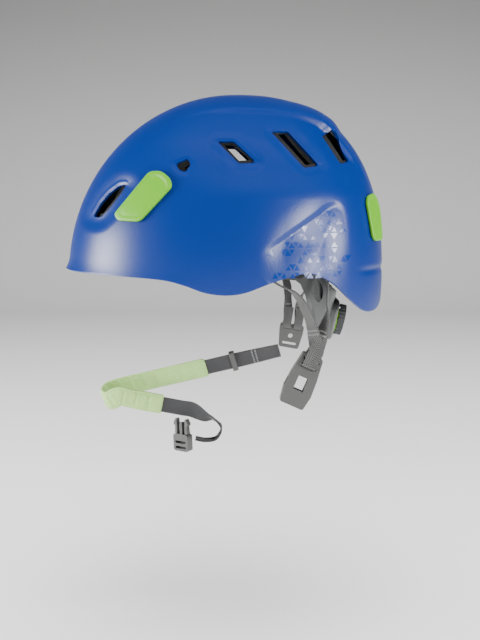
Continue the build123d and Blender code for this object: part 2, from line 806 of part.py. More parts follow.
# A soft sleeve runs on the chin strap round its loop, and a keeper holds the first leg.
sleeve_air = 0.2
strap_hollow = chin_run(chin_wall + 2 * sleeve_air, chin_width + 2 * sleeve_air, 0, return_long + 4)
with BuildPart() as chin_sleeve:
    add(chin_run(sleeve_wall, sleeve_width, sleeve_start, sleeve_back))
    add(strap_hollow, mode=Mode.SUBTRACT)
chin_sleeve.part.label = "chin_sleeve"
export_step(chin_sleeve.part, "parts/chin_sleeve.step")

keeper_at = 52.0
keeper_long = 5.0
keeper_wall = 1.8
with BuildPart() as strap_keeper:
    with BuildSketch(chin_plane.offset(-chin_width / 2 - keeper_wall)):
        with Locations((keeper_at, 0)):
            RectangleRounded(keeper_long, chin_wall + 2 * keeper_wall, 1.2)
    extrude(amount=chin_width + 2 * keeper_wall)
    add(strap_hollow, mode=Mode.SUBTRACT)
strap_keeper.part.label = "strap_keeper"
export_step(strap_keeper.part, "parts/strap_keeper.step")

# The male half: a base with two slots for the strap, a middle guide, and two sprung prongs.
male_wide = 17.0
male_high = 16.0
male_thick = 7.0
prong_thick = 4.6
prong_long = 14.0
prong_air = 0.15
guide_wide = 3.0
male_top = (fold_x + 7, -40.0, -155.0)
male_plane = Plane(origin=male_top, x_dir=(0.6, 0.8, 0), z_dir=(0.79, -0.594, -0.06))
with BuildPart() as buckle_male:
    with BuildSketch(male_plane.offset(-male_thick / 2)):
        with Locations((0, -male_high / 2)):
            RectangleRounded(male_wide, male_high, 2.4)
        with Locations((0, -male_high + 3.4), (0, -male_high + 8.4)):
            SlotOverall(12.5, 2.4, mode=Mode.SUBTRACT)
    extrude(amount=male_thick)
    with BuildSketch(male_plane.offset(-prong_thick / 2)):
        with Locations((0, prong_long * 0.36)):
            Rectangle(guide_wide, prong_long * 0.8)
    extrude(amount=prong_thick)
buckle_male.part.label = "buckle_male"
export_step(buckle_male.part, "parts/buckle_male.step")

prong_root = 4.4
prong_head = mouth_wide / 2 - 0.5
for name, side in (("front", -1), ("rear", 1)):
    with BuildPart() as prong:
        with BuildSketch(male_plane.offset(-prong_thick / 2)):
            with BuildLine():
                Polyline(
                    (side * prong_root, prong_air),
                    (side * (prong_root + 2.8), prong_air),
                    (side * (prong_root + 2.3), prong_long * 0.55),
                    (side * prong_head, prong_long * 0.6),
                    (side * prong_head, prong_long * 0.74),
                    (side * (prong_root + 1.8), prong_long),
                    (side * (prong_root + 0.5), prong_long),
                    (side * prong_root, prong_long * 0.55),
                    close=True,
                )
            make_face()
        extrude(amount=prong_thick)
    prong.part.label = f"buckle_prong_{name}"
    export_step(prong.part, f"parts/buckle_prong_{name}.step")
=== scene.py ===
"""The looks of a hard-shell climbing helmet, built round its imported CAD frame. Metres, +Z up, -Y the front."""
from math import cos, pi, radians, sin

import bmesh
import bpy
import numpy as np
from mathutils import Matrix, Vector


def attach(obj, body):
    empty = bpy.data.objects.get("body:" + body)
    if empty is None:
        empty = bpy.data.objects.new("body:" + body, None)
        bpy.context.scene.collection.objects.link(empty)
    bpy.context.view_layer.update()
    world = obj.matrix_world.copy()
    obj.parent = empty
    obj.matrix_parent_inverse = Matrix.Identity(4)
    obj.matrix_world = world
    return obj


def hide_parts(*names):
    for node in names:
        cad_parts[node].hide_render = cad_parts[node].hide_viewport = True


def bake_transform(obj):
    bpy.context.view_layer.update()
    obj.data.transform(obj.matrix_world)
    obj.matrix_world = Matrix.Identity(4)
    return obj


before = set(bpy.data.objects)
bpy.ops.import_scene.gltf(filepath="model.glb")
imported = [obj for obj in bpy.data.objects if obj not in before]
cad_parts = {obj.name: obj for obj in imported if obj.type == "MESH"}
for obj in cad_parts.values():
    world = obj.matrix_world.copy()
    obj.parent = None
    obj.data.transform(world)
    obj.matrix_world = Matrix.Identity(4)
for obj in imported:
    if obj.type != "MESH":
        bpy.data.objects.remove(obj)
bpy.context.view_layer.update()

# ------------------------------------------------------------------ camera
# The helmet is seen square on from the wearer's left, a little from above, through a long
# lens that keeps its far side nearly as large as its near one.
view_pitch = radians(7.0)
view_lens = 60.4
camera = bpy.data.objects.new("camera", bpy.data.cameras.new("camera"))
camera.data.sensor_fit = "VERTICAL"
camera.data.sensor_height = 36.0
camera.data.lens = view_lens
camera.matrix_world = Matrix((
    (0, -sin(view_pitch), cos(view_pitch), 0.9),
    (1, 0, 0, 0.0127),
    (0, cos(view_pitch), sin(view_pitch), 0.0685),
    (0, 0, 0, 1),
))
bpy.context.scene.collection.objects.link(camera)
bpy.context.scene.camera = camera


# ----------------------------------------------------- floor and soft light
# A pale sweep of card under the helmet, its colour painted darker towards the top as painted shade, a
# softbox ahead of it, another behind the camera's right shoulder, and a wide overhead one.
def add_mesh(name, verts, faces, smooth=True):
    """A mesh object in the scene."""
    mesh = bpy.data.meshes.new(name)
    mesh.from_pydata([tuple(v) for v in verts], [], [tuple(f) for f in faces])
    mesh.update()
    if smooth:
        mesh.polygons.foreach_set("use_smooth", [True] * len(mesh.polygons))
    piece = bpy.data.objects.new(name, mesh)
    bpy.context.scene.collection.objects.link(piece)
    return piece


def new_material(name, colour, roughness, **sockets):
    """A principled material, with its node tree, shader and links to hand."""
    material = bpy.data.materials.new(name)
    material.use_nodes = True
    nodes = material.node_tree.nodes
    shader = nodes["Principled BSDF"]
    shader.inputs["Base Color"].default_value = (*colour, 1)
    shader.inputs["Roughness"].default_value = roughness
    for socket, value in sockets.items():
        shader.inputs[socket.replace("_", " ")].default_value = value
    return material, nodes, material.node_tree.links, shader


floor_z = -0.29
sweep_steps = 40
sweep_radius = 1.2
sweep_start = -2.2
sweep_points = []
for step in range(sweep_steps + 1):
    turn = pi / 2 * step / sweep_steps
    sweep_points.append((sweep_start - sweep_radius * sin(turn), floor_z + sweep_radius * (1 - cos(turn))))
profile = [(3.0, floor_z), *sweep_points, (-3.4, 4.0)]
floor_verts = [(x, y, z) for x, z in profile for y in (-5.0, 5.0)]
floor_faces = [(2 * i, 2 * i + 1, 2 * i + 3, 2 * i + 2) for i in range(len(profile) - 1)]
floor = add_mesh("floor", floor_verts, floor_faces)
card, nodes, links, shader = new_material("pale_card", (0.62, 0.61, 0.60), 0.85)
# Painted shade: the card's colour ramps from 0.90 at the floor to 0.30 at 1.1 m up, so the sweep darkens towards its
# top.
place = nodes.new("ShaderNodeNewGeometry")
height = nodes.new("ShaderNodeSeparateXYZ")
painted_shade_ramp = nodes.new("ShaderNodeMapRange")
painted_shade_ramp.interpolation_type = "SMOOTHSTEP"
painted_shade_ramp.inputs["From Min"].default_value = floor_z
painted_shade_ramp.inputs["From Max"].default_value = 1.1
painted_shade_ramp.inputs["To Min"].default_value = 0.90
painted_shade_ramp.inputs["To Max"].default_value = 0.30
links.new(place.outputs["Position"], height.inputs["Vector"])
links.new(height.outputs["Z"], painted_shade_ramp.inputs["Value"])
links.new(painted_shade_ramp.outputs["Result"], shader.inputs["Base Color"])
grain = nodes.new("ShaderNodeTexNoise")
grain.inputs["Scale"].default_value = 3.0
nap = nodes.new("ShaderNodeMapRange")
nap.inputs["To Min"].default_value = 0.80
nap.inputs["To Max"].default_value = 0.90
links.new(grain.outputs["Fac"], nap.inputs["Value"])
links.new(nap.outputs["Result"], shader.inputs["Roughness"])
floor.data.materials.append(card)


def softbox(name, place, target, size, power):
    """A square area light at place, turned to target."""
    light = bpy.data.lights.new(name, "AREA")
    light.shape = "RECTANGLE"
    light.size, light.size_y = size
    light.energy = power
    lamp = bpy.data.objects.new(name, light)
    lamp.location = place
    lamp.rotation_euler = (Vector(target) - Vector(place)).to_track_quat("-Z", "Y").to_euler()
    bpy.context.scene.collection.objects.link(lamp)
    return lamp


softbox("front_softbox", (0.32, -1.45, 0.10), (0.06, -0.10, 0.01), (0.7, 0.5), 46)
softbox("rear_softbox", (1.0, 1.12, 0.23), (0.09, 0.07, 0.03), (0.5, 0.5), 34)
overhead = softbox("overhead_fill", (0.2, 0.1, 2.0), (0, 0, 0), (2.4, 2.4), 105)
overhead.visible_glossy = False
world = bpy.data.worlds.new("studio")
world.use_nodes = True
world.node_tree.nodes["Background"].inputs["Color"].default_value = (0.72, 0.71, 0.70, 1)
world.node_tree.nodes["Background"].inputs["Strength"].default_value = 0.14
bpy.context.scene.world = world

# ------------------------------------------------------------- outer shell
# One moulding of ABS, about 2.4 mm thick: a rounded dome with a raised crown, scooped
# vents, a stepped panel at each side of the back, and a rim that turns out at the brim.
mm = 0.001
dome_mid = 9.0
dome_reach_mm = {"front": 138.0, "rear": 121.5, "side": 105.0}
dome_waist = -2.0
dome_top = 144.3
plan_round = 2.25
shell_wall = 2.4 * mm


def smooth(low, high, value):
    """0 below low, 1 above high, and a smooth rise between."""
    t = np.clip((value - low) / (high - low), 0.0, 1.0)
    return t * t * (3 - 2 * t)


def dome_sections(z, inset=0.0):
    """Front, rear and side reach of the dome at heights z, set in by inset, all in millimetres."""
    rise = np.clip((z - dome_waist) / (dome_top - inset - dome_waist), 0.0, 1.0)
    drop = np.clip(dome_waist - z, 0.0, None)
    front = (dome_reach_mm["front"] - inset) * (1 - rise**2.0) ** 0.5 + 0.13 * drop
    rear = (dome_reach_mm["rear"] - inset) * (1 - rise**2.45) ** (1 / 2.45) - 0.0023 * drop**2
    side = (dome_reach_mm["side"] - inset) * (1 - rise**2.15) ** (1 / 2.15) - 0.002 * drop**2
    front = front + 5.0 * np.clip((14.0 - z) / 14.0, 0.0, 1.2) ** 2
    return front, rear, side


def half_width(y, z, inset=0.0):
    """How far out the dome's side stands at side-view places (y, z), in millimetres."""
    front, rear, side = dome_sections(z, inset)
    reach = np.where(y >= dome_mid, rear, front)
    share = np.clip(1 - (np.abs(y - dome_mid) / reach) ** plan_round, 0, 1)
    return side * share ** (1 / plan_round)


def dome_point(turn, z):
    """A point of the plain dome, in millimetres, at an angle round from the back and a height."""
    front, rear, side = dome_sections(z)
    along, across = np.cos(turn), np.sin(turn)
    reach = np.where(along >= 0, rear, front)
    power = 2 / plan_round
    x = side * np.sign(across) * np.abs(across) ** power
    y = dome_mid + reach * np.sign(along) * np.abs(along) ** power
    return np.stack([x, y, np.broadcast_to(z, x.shape)], axis=-1)


# The lower edge in side view, y to z: level at the brim, a lobe over the cheek, an arch over
# the ear and a deep lobe behind it.
rim_line = [(-136, 3.8), (-100, 3), (-50, 0.5), (-30, -3.5), (-14, -9), (2, -11), (17, -9), (36, -2), (58, 4.2),
            (71, 3.5), (84, -3.5), (97, -16), (110, -27), (121, -28), (128, -23), (134, -17)]


def curve_through(points, count):
    """Evenly stepped samples of a smooth curve through points (Catmull-Rom)."""
    points = np.array(points, float)
    ends = np.vstack([2 * points[0] - points[1], points, 2 * points[-1] - points[-2]])
    out = []
    for i in range(len(points) - 1):
        p0, p1, p2, p3 = ends[i:i + 4]
        t = np.linspace(0, 1, count, endpoint=False)[:, None]
        out.append(0.5 * (2 * p1 + (p2 - p0) * t + (2 * p0 - 5 * p1 + 4 * p2 - p3) * t**2
                          + (3 * p1 - p0 - 3 * p2 + p3) * t**3))
    return np.vstack([*out, points[-1:]])


rim_curve = curve_through(rim_line, 12)

# Vents of the left side in side view (y, z). The right side mirrors them.
vents = {
    "front": [(-104.5, 46.5), (-97, 46.6), (-90, 53), (-80, 65), (-75.5, 72.5), (-81, 72), (-90, 66), (-98, 57.5)],
    "small": [(-36.5, 87.5), (-27, 91.5), (-24.5, 86.5), (-28.5, 81), (-33, 82.2)],
    "upper": [(-5, 106), (8, 106.5), (26, 89.8), (12, 88.8)],
    "long": [(37, 115), (50.5, 115.5), (75.5, 87.6), (63, 85.8)],
    "rear": [(79, 113), (87.5, 114.5), (102.5, 91.5), (94, 89.5)],
}


def outline_distance(points, outline):
    """Signed distance from points (n, 2) to a closed outline, negative inside, and the nearest points."""
    ring = np.array(outline, float)
    after = np.roll(ring, -1, axis=0)
    best = np.full(len(points), 1e9)
    nearest = np.zeros_like(points)
    inside = np.zeros(len(points), bool)
    for a, b in zip(ring, after):
        edge = b - a
        t = np.clip(((points - a) @ edge) / (edge @ edge), 0, 1)
        foot = a + t[:, None] * edge
        gap = np.linalg.norm(points - foot, axis=1)
        closer = gap < best
        best = np.where(closer, gap, best)
        nearest[closer] = foot[closer]
        crosses = (a[1] > points[:, 1]) != (b[1] > points[:, 1])
        rise = b[1] - a[1] if b[1] != a[1] else 1e-9
        inside ^= crosses & (points[:, 0] < a[0] + (points[:, 1] - a[1]) * edge[0] / rise)
    return np.where(inside, -best, best), nearest


def rounded_outline(outline, radius, count=5):
    """The outline with its corners cut to arcs, as a closed list of points."""
    ring = [Vector(p) for p in outline]
    out = []
    for i, corner in enumerate(ring):
        back = ring[i - 1] - corner
        ahead = ring[(i + 1) % len(ring)] - corner
        cut = min(radius, back.length * 0.45, ahead.length * 0.45)
        start = corner + back.normalized() * cut
        end = corner + ahead.normalized() * cut
        for k in range(count):
            t = k / (count - 1)
            out.append(tuple(start * (1 - t) ** 2 + corner * 2 * t * (1 - t) + end * t**2))
    return out


vent_rings = {name: rounded_outline(ring, 3.2 if name == "front" else 1.8) for name, ring in vents.items()}
crease_line = curve_through([(26, 22), (40, 31), (55, 41), (70, 51), (80, 57.5), (88, 58.5), (94, 53), (97, 42),
                             (98.5, 28), (99.5, 14)], 8)
panel_ring = [*map(tuple, crease_line), (100, -10), (90, -14), (60, -6), (40, -6), (30, 2), (24, 12)]


def turn_outward(piece):
    """Makes the piece's faces all face out."""
    bm = bmesh.new()
    bm.from_mesh(piece.data)
    bmesh.ops.recalc_face_normals(bm, faces=bm.faces)
    bm.to_mesh(piece.data)
    bm.free()


def shell_relief(points):
    """How far the shell stands out of (or is pressed into) the plain dome at points, in millimetres."""
    x, y, z = points[:, 0], points[:, 1], points[:, 2]
    side = np.stack([y, z], axis=1)
    relief = np.zeros(len(points))
    # The crown's flat-topped ridge: it grows towards the back and ends in a ledge.
    ridge_half = 50 - 12 * smooth(20, 92, y)
    on_ridge = 1 - smooth(ridge_half - 2.6, ridge_half + 2.6, np.abs(x))
    high = smooth(60, 85, z)
    relief -= 3.0 * (1 - on_ridge) * smooth(-50, 30, y) * high * (1 - smooth(96, 118, y))
    ledge = smooth(48, 84, y) * (1 - smooth(86, 96, y)) * on_ridge * high
    relief += 2.6 * ledge
    # Vents lie in scoops that are deepest at their lower edges.
    for name, ring in vent_rings.items():
        gap, foot = outline_distance(side, ring)
        below = foot[:, 1] - z
        reach = {"front": 14.0, "small": 5.0}.get(name, 9.0)
        depth = {"front": 3.0, "small": 0.7}.get(name, 1.8)
        near = (1 - smooth(0.0, reach, gap)) * (np.abs(x) > 15)
        relief -= depth * near * smooth(-reach, reach * 0.6, below + 2)
        lip = np.exp(-((gap - 1.6) / 1.1) ** 2) * (np.abs(x) > 15)
        relief += 0.55 * lip * smooth(0, 2, -below)
    # The stepped panel: pressed in under the crease, with a soft border behind, and level again below.
    gap, foot = outline_distance(side, panel_ring)
    crease_gap = np.full(len(points), 1e9)
    for a, b in zip(crease_line[:-1], crease_line[1:]):
        t = np.clip(((side - a) @ (b - a)) / ((b - a) @ (b - a)), 0, 1)
        crease_gap = np.minimum(crease_gap, np.linalg.norm(side - (a + t[:, None] * (b - a)), axis=1))
    inside = gap < 0
    along = smooth(26, 48, y) * (1 - smooth(76, 99, y))
    rolled = 1.1 * (1 - np.clip(crease_gap / 15, 0, 1)) ** 2
    pressed = 1.1 + 2.4 * (1 - 0.85 * smooth(30, 4, z)) * np.clip(crease_gap / 3.8, 0, 1)
    relief -= along * np.where(inside, pressed * (1 - 0.8 * smooth(8, 44, crease_gap)), rolled * smooth(10, 22, z))
    # A shallow groove round the back.
    relief -= 1.1 * np.exp(-((z - 4.5) / 2.6) ** 2) * smooth(100, 118, y)
    return relief


def dome_normal(points):
    """Outward normals of the plain dome at points."""
    def level(p):
        front, rear, side = dome_sections(p[:, 2])
        reach = np.where(p[:, 1] >= dome_mid, rear, front)
        return (np.abs(p[:, 0]) / np.maximum(side, 0.01)) ** plan_round \
            + (np.abs(p[:, 1] - dome_mid) / np.maximum(reach, 0.01)) ** plan_round
    step = 0.05
    slopes = []
    for axis in range(3):
        move = np.zeros(3)
        move[axis] = step
        slopes.append(level(points + move) - level(points - move))
    normal = np.stack(slopes, axis=1)
    length = np.linalg.norm(normal, axis=1, keepdims=True)
    normal = np.where(length > 1e-12, normal / np.maximum(length, 1e-12), np.array([0, 0, 1.0]))
    crown = points[:, 2] > dome_top - 0.6
    normal[crown] = (0, 0, 1)
    return normal


columns = 720
rows = 210
turns = 2 * pi * np.arange(columns) / columns
rim_heights = np.zeros(columns)
for _ in range(12):
    y_here = dome_point(turns, rim_heights)[:, 1]
    rim_heights = np.interp(y_here, rim_curve[:, 0], rim_curve[:, 1])
meridian_steps = 400
levels = np.sin(np.linspace(0, pi / 2, meridian_steps))
heights = rim_heights[:, None] + (dome_top - rim_heights[:, None]) * levels[None, :]
meridians = dome_point(np.broadcast_to(turns[:, None], heights.shape), heights)
steps = np.linalg.norm(np.diff(meridians, axis=1), axis=2)
travel = np.concatenate([np.zeros((columns, 1)), np.cumsum(steps, axis=1)], axis=1)
grid = np.zeros((columns, rows, 3))
for column in range(columns):
    wanted = np.linspace(0, travel[column, -1], rows + 1)[:rows]
    for axis in range(3):
        grid[column, :, axis] = np.interp(wanted, travel[column], meridians[column, :, axis])
points = grid.reshape(-1, 3)
crown_point = np.array([[0.0, dome_mid, dome_top]])

# Faces that lie wholly in a vent are left out, and the vertices round each hole move onto its outline.
side_view = points[:, 1:3].copy()
in_vent = np.zeros(len(points), bool)
snap_to = np.full(len(points), -1)
feet = {}
for number, (name, ring) in enumerate(vent_rings.items()):
    gap, foot = outline_distance(side_view, ring)
    beside = np.abs(points[:, 0]) > 18
    inside = (gap < 0) & beside
    in_vent |= inside
    feet[number] = foot
    snap_to[inside] = number
index = np.arange(columns * rows).reshape(columns, rows)
here, ahead = index, np.roll(index, -1, axis=0)
quads = np.stack([here[:, :-1], ahead[:, :-1], ahead[:, 1:], here[:, 1:]], axis=-1).reshape(-1, 4)
kept = ~in_vent[quads].all(axis=1)
used_inside = np.zeros(len(points), bool)
used_inside[quads[kept].reshape(-1)] = True
edge_verts = used_inside & in_vent
for number in feet:
    chosen = edge_verts & (snap_to == number)
    y_new, z_new = feet[number][chosen, 0], feet[number][chosen, 1]
    x_new = half_width(y_new, z_new) * np.sign(points[chosen, 0])
    points[chosen] = np.stack([x_new, y_new, z_new], axis=1)
normals = dome_normal(points)
shaped = points + normals * shell_relief(points)[:, None]
crown_relief = shell_relief(crown_point)[0]
verts = np.vstack([shaped, crown_point + np.array([[0, 0, crown_relief]])]) * mm
top = columns * rows
caps = [(index[i, -1], index[(i + 1) % columns, -1], top) for i in range(columns)]
shell = add_mesh("shell_moulding", verts, [*quads[kept].tolist(), *caps])
bm = bmesh.new()
bm.from_mesh(shell.data)
bmesh.ops.delete(bm, geom=[v for v in bm.verts if not v.link_faces], context="VERTS")
bm.to_mesh(shell.data)
bm.free()
turn_outward(shell)
wall = shell.modifiers.new("wall", "SOLIDIFY")
wall.thickness = shell_wall
wall.offset = -1
wall.use_rim = True
wall.use_quality_normals = True
edges = shell.modifiers.new("edges", "BEVEL")
edges.width = 0.6 * mm
edges.segments = 2
edges.limit_method = "ANGLE"
edges.angle_limit = radians(50)


def apply_modifiers(piece):
    """Replaces the piece's mesh with what its modifiers make of it."""
    bpy.context.view_layer.update()
    made = bpy.data.meshes.new_from_object(piece.evaluated_get(bpy.context.evaluated_depsgraph_get()))
    piece.modifiers.clear()
    piece.data = made


apply_modifiers(shell)
shell.data.polygons.foreach_set("use_smooth", [True] * len(shell.data.polygons))

abs_blue, nodes, links, shader = new_material("satin_blue_abs", (0.0, 0.018, 0.150), 0.35)
shader.inputs["Specular IOR Level"].default_value = 0.42
place = nodes.new("ShaderNodeNewGeometry")
grain = nodes.new("ShaderNodeTexNoise")
grain.inputs["Scale"].default_value = 900.0
grain.inputs["Detail"].default_value = 3.0
bump = nodes.new("ShaderNodeBump")
bump.inputs["Strength"].default_value = 0.5
bump.inputs["Distance"].default_value = 0.0002
links.new(place.outputs["Position"], grain.inputs["Vector"])
links.new(grain.outputs["Fac"], bump.inputs["Height"])
links.new(bump.outputs["Normal"], shader.inputs["Normal"])
shell.data.materials.append(abs_blue)
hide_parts("outer_shell")
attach(shell, "shell")

# ---------------------------------------------------------- printed pattern
# Small triangles of gloss lacquer, printed in a broken lattice over each stepped panel. They
# thin out towards its front edge and stand a tenth of a millimetre off the shell.
def shell_at(y, z, side_sign, lift):
    """Points of the shell's outer face at side-view places (mm), lifted off it by lift."""
    base = np.stack([half_width(y, z) * side_sign, y, z], axis=1)
    return base + dome_normal(base) * (shell_relief(base) + lift)[:, None]


scatter = np.random.RandomState(11)
pitch = 6.6
row_high = pitch * 0.866
pattern_spots = []
for row in range(11):
    for step in range(28):
        up = 1 if (step + row) % 2 else -1
        middle = np.array([16 + pitch * step / 2, 1 + row_high * (row + (1 / 3 if up > 0 else 2 / 3))])
        keep, scale = scatter.rand(), 0.55 + 0.33 * scatter.rand()
        gap, _ = outline_distance(middle[None, :], panel_ring)
        dense = smooth(24, 60, middle[0]) * (1 - 0.6 * smooth(88, 98, middle[0]))
        if gap[0] < -4.0 and keep < 0.16 + 0.40 * dense:
            pattern_spots.append((middle, up, scale * pitch * 0.577))
lacquer, nodes, links, shader = new_material("gloss_lacquer", (0.0, 0.024, 0.18), 0.14)
fine = nodes.new("ShaderNodeTexNoise")
fine.inputs["Scale"].default_value = 500.0
spread = nodes.new("ShaderNodeMapRange")
spread.inputs["To Min"].default_value = 0.12
spread.inputs["To Max"].default_value = 0.24
links.new(fine.outputs["Fac"], spread.inputs["Value"])
links.new(spread.outputs["Result"], shader.inputs["Roughness"])
for side_name, sign in (("left", 1), ("right", -1)):
    verts, faces = [], []
    for middle, up, radius in pattern_spots:
        corners = [middle + radius * np.array([sin(a), cos(a) * up]) for a in (0, 2 * pi / 3, 4 * pi / 3)]
        cut = 4
        first = len(verts)
        spots = [corners[0] + (corners[1] - corners[0]) * i / cut + (corners[2] - corners[1]) * j / cut
                 for i in range(cut + 1) for j in range(i + 1)]
        spots = np.array(spots)
        verts.extend(shell_at(spots[:, 0], spots[:, 1], sign, np.full(len(spots), 0.09)) * mm)
        number = {(i, j): first + i * (i + 1) // 2 + j for i in range(cut + 1) for j in range(i + 1)}
        for i in range(cut):
            for j in range(i + 1):
                faces.append((number[i, j], number[i + 1, j], number[i + 1, j + 1]))
                if j < i:
                    faces.append((number[i, j], number[i + 1, j + 1], number[i, j + 1]))
    print_layer = add_mesh(f"panel_print_{side_name}", verts, faces)
    bm = bmesh.new()
    bm.from_mesh(print_layer.data)
    for face in bm.faces:
        face.normal_update()
        if face.normal.x * sign < 0:
            face.normal_flip()
    bm.to_mesh(print_layer.data)
    bm.free()
    print_layer.data.materials.append(lacquer)
    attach(print_layer, "shell")

# ----------------------------------------------------------- headlamp clips
# Four nylon tabs lie over the shell to hold a lamp's strap. Each has a raised rim round a
# thumb rest that is deep at its free end and runs out towards its root.
clip_lime, nodes, links, shader = new_material("lime_nylon", (0.095, 0.34, 0.0), 0.46)
fine = nodes.new("ShaderNodeTexNoise")
fine.inputs["Scale"].default_value = 900.0
bump = nodes.new("ShaderNodeBump")
bump.inputs["Strength"].default_value = 0.22
bump.inputs["Distance"].default_value = 0.0001
links.new(fine.outputs["Fac"], bump.inputs["Height"])
links.new(bump.outputs["Normal"], shader.inputs["Normal"])

front_tab = [(-82, 48), (-79, 43.5), (-62, 43), (-37.5, 69), (-39, 75), (-46, 80.5), (-55, 80)]
rear_tab = [(56, 31), (52, 27), (37, 27), (30, 52), (32, 60), (38, 64), (50, 62), (55, 56)]


def ring_faces(count, layers):
    """Faces that join each ring of count vertices to the next."""
    return [(a * count + i, a * count + (i + 1) % count, (a + 1) * count + (i + 1) % count, (a + 1) * count + i)
            for a in range(layers - 1) for i in range(count)]


def front_place(flat, sign):
    """Dome points, in millimetres, for side-view places on one side."""
    y, z = flat[:, 0], flat[:, 1]
    return np.stack([sign * half_width(y, z), y, z], axis=1)


def rear_place(flat, sign):
    """Dome points, in millimetres, for places (x, z) seen from behind."""
    x, z = flat[:, 0], flat[:, 1]
    front, rear, side = dome_sections(z)
    share = np.clip(1 - (x / side) ** plan_round, 0, 1)
    return np.stack([sign * x, dome_mid + rear * share ** (1 / plan_round), z], axis=1)


def tab_mesh(name, outline, place, sign, deep_end):
    """A moulded tab: flat back, rounded edge, raised rim and a thumb rest deep at deep_end."""
    ring = np.array(rounded_outline(outline, 3.4, 9))
    middle = ring.mean(axis=0)
    shares = np.array([1.0, 1.0, 0.992, 0.972, 0.93, 0.88, 0.845, 0.81, 0.77, 0.70, 0.6, 0.45, 0.3, 0.15])
    heights = np.array([0.9, 2.3, 2.9, 3.2, 3.3, 3.3, 3.15, 2.75, 2.5, 2.45, 2.4, 2.4, 2.4, 2.4])
    rest = np.array([0, 0, 0, 0, 0, 0, 0.15, 0.6, 0.95, 1, 1, 1, 1, 1])
    deep_end = np.array(deep_end, float)
    length = np.linalg.norm(ring - deep_end, axis=1).max()
    verts = []
    for share, height, level in zip(shares, heights, rest):
        flat = middle + (ring - middle) * share
        run_out = smooth(0.35, 0.95, np.linalg.norm(flat - deep_end, axis=1) / length)
        lift = height + level * run_out * (3.3 - height)
        base = place(flat, sign)
        verts.extend(base + dome_normal(base) * np.broadcast_to(lift, len(flat))[:, None])
    base = place(middle[None, :], sign)
    verts.extend(base + dome_normal(base) * 2.6)
    verts.extend(base + dome_normal(base) * 0.9)
    count, layers = len(ring), len(shares)
    faces = ring_faces(count, layers)
    for i in range(count):
        j = (i + 1) % count
        faces.append(((layers - 1) * count + i, (layers - 1) * count + j, layers * count))
        faces.append((j, i, layers * count + 1))
    tab = add_mesh(name, np.array(verts) * mm, faces)
    turn_outward(tab)
    return tab


for end, outline, place, deep_end in (("front", front_tab, front_place, (-46, 80.5)),
                                      ("rear", rear_tab, rear_place, (38, 64))):
    for side_name, sign in (("left", 1), ("right", -1)):
        tab = tab_mesh(f"lamp_clip_{end}_{side_name}", outline, place, sign, deep_end)
        tab.data.materials.append(clip_lime)
        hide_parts(f"headlamp_clip_{end}_{side_name}")
        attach(tab, f"clip_{end}_{side_name}")

# ------------------------------------------------------------- foam liner
# The liner and crown are expanded foam, moulded in dark grey beads that show as faint
# cells on every face.
foam, nodes, links, shader = new_material("dark_bead_foam", (0.018, 0.018, 0.020), 0.82)
place = nodes.new("ShaderNodeNewGeometry")
cells = nodes.new("ShaderNodeTexVoronoi")
cells.feature = "DISTANCE_TO_EDGE"
cells.inputs["Scale"].default_value = 330.0
bump = nodes.new("ShaderNodeBump")
bump.inputs["Strength"].default_value = 0.5
bump.inputs["Distance"].default_value = 0.0005
shade = nodes.new("ShaderNodeMapRange")
shade.inputs["From Max"].default_value = 0.25
shade.inputs["To Min"].default_value = 0.004
shade.inputs["To Max"].default_value = 0.011
links.new(place.outputs["Position"], cells.inputs["Vector"])
links.new(cells.outputs["Distance"], bump.inputs["Height"])
links.new(cells.outputs["Distance"], shade.inputs["Value"])
links.new(shade.outputs["Result"], shader.inputs["Base Color"])
links.new(bump.outputs["Normal"], shader.inputs["Normal"])


def finish_nodes(material, slot_name, *names):
    """Gives CAD nodes their material; slot_name is not used."""
    for name in names:
        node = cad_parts[name]
        node.data.materials.clear()
        node.data.materials.append(material)


finish_nodes(foam, "foam_dark", "foam_liner", "crown_foam")


# ---------------------------------------------------------------- plastics
# Spark-textured mouldings: a dark grey for the cradle, posts and buckles, a paler one for
# the pod's cover and the tongues, and a softer grip for the wheel. Steel only for the screws.
def moulded(name, colour, roughness, scale, strength):
    """A moulded plastic with a spark-eroded grain and a softened edge."""
    material, nodes, links, shader = new_material(name, colour, roughness)
    place = nodes.new("ShaderNodeNewGeometry")
    fine = nodes.new("ShaderNodeTexNoise")
    fine.inputs["Scale"].default_value = scale
    fine.inputs["Detail"].default_value = 4.0
    soft = nodes.new("ShaderNodeBevel")
    soft.inputs["Radius"].default_value = 0.00045
    bump = nodes.new("ShaderNodeBump")
    bump.inputs["Strength"].default_value = strength
    bump.inputs["Distance"].default_value = 0.0002
    spread = nodes.new("ShaderNodeMapRange")
    spread.inputs["To Min"].default_value = roughness - 0.07
    spread.inputs["To Max"].default_value = roughness + 0.09
    links.new(place.outputs["Position"], fine.inputs["Vector"])
    links.new(fine.outputs["Fac"], bump.inputs["Height"])
    links.new(fine.outputs["Fac"], spread.inputs["Value"])
    links.new(spread.outputs["Result"], shader.inputs["Roughness"])
    links.new(soft.outputs["Normal"], bump.inputs["Normal"])
    links.new(bump.outputs["Normal"], shader.inputs["Normal"])
    return material


cradle_grey = moulded("cradle_grey_nylon", (0.050, 0.052, 0.052), 0.32, 900.0, 0.2)
pod_grey = moulded("pod_grey_nylon", (0.085, 0.088, 0.085), 0.30, 900.0, 0.15)
buckle_grey = moulded("buckle_grey_acetal", (0.060, 0.060, 0.058), 0.32, 1100.0, 0.2)
tongue_grey = moulded("tongue_grey_acetal", (0.15, 0.155, 0.16), 0.30, 1200.0, 0.15)
wheel_grey = moulded("wheel_soft_grip", (0.032, 0.034, 0.036), 0.58, 1400.0, 0.4)
ring_lime = moulded("ring_lime_nylon", (0.30, 0.80, 0.02), 0.36, 900.0, 0.15)
socket_black = moulded("socket_black_nylon", (0.014, 0.014, 0.015), 0.48, 900.0, 0.25)
spring_steel = moulded("bright_steel", (0.55, 0.55, 0.56), 0.30, 2500.0, 0.1)
spring_steel.node_tree.nodes["Principled BSDF"].inputs["Metallic"].default_value = 1.0
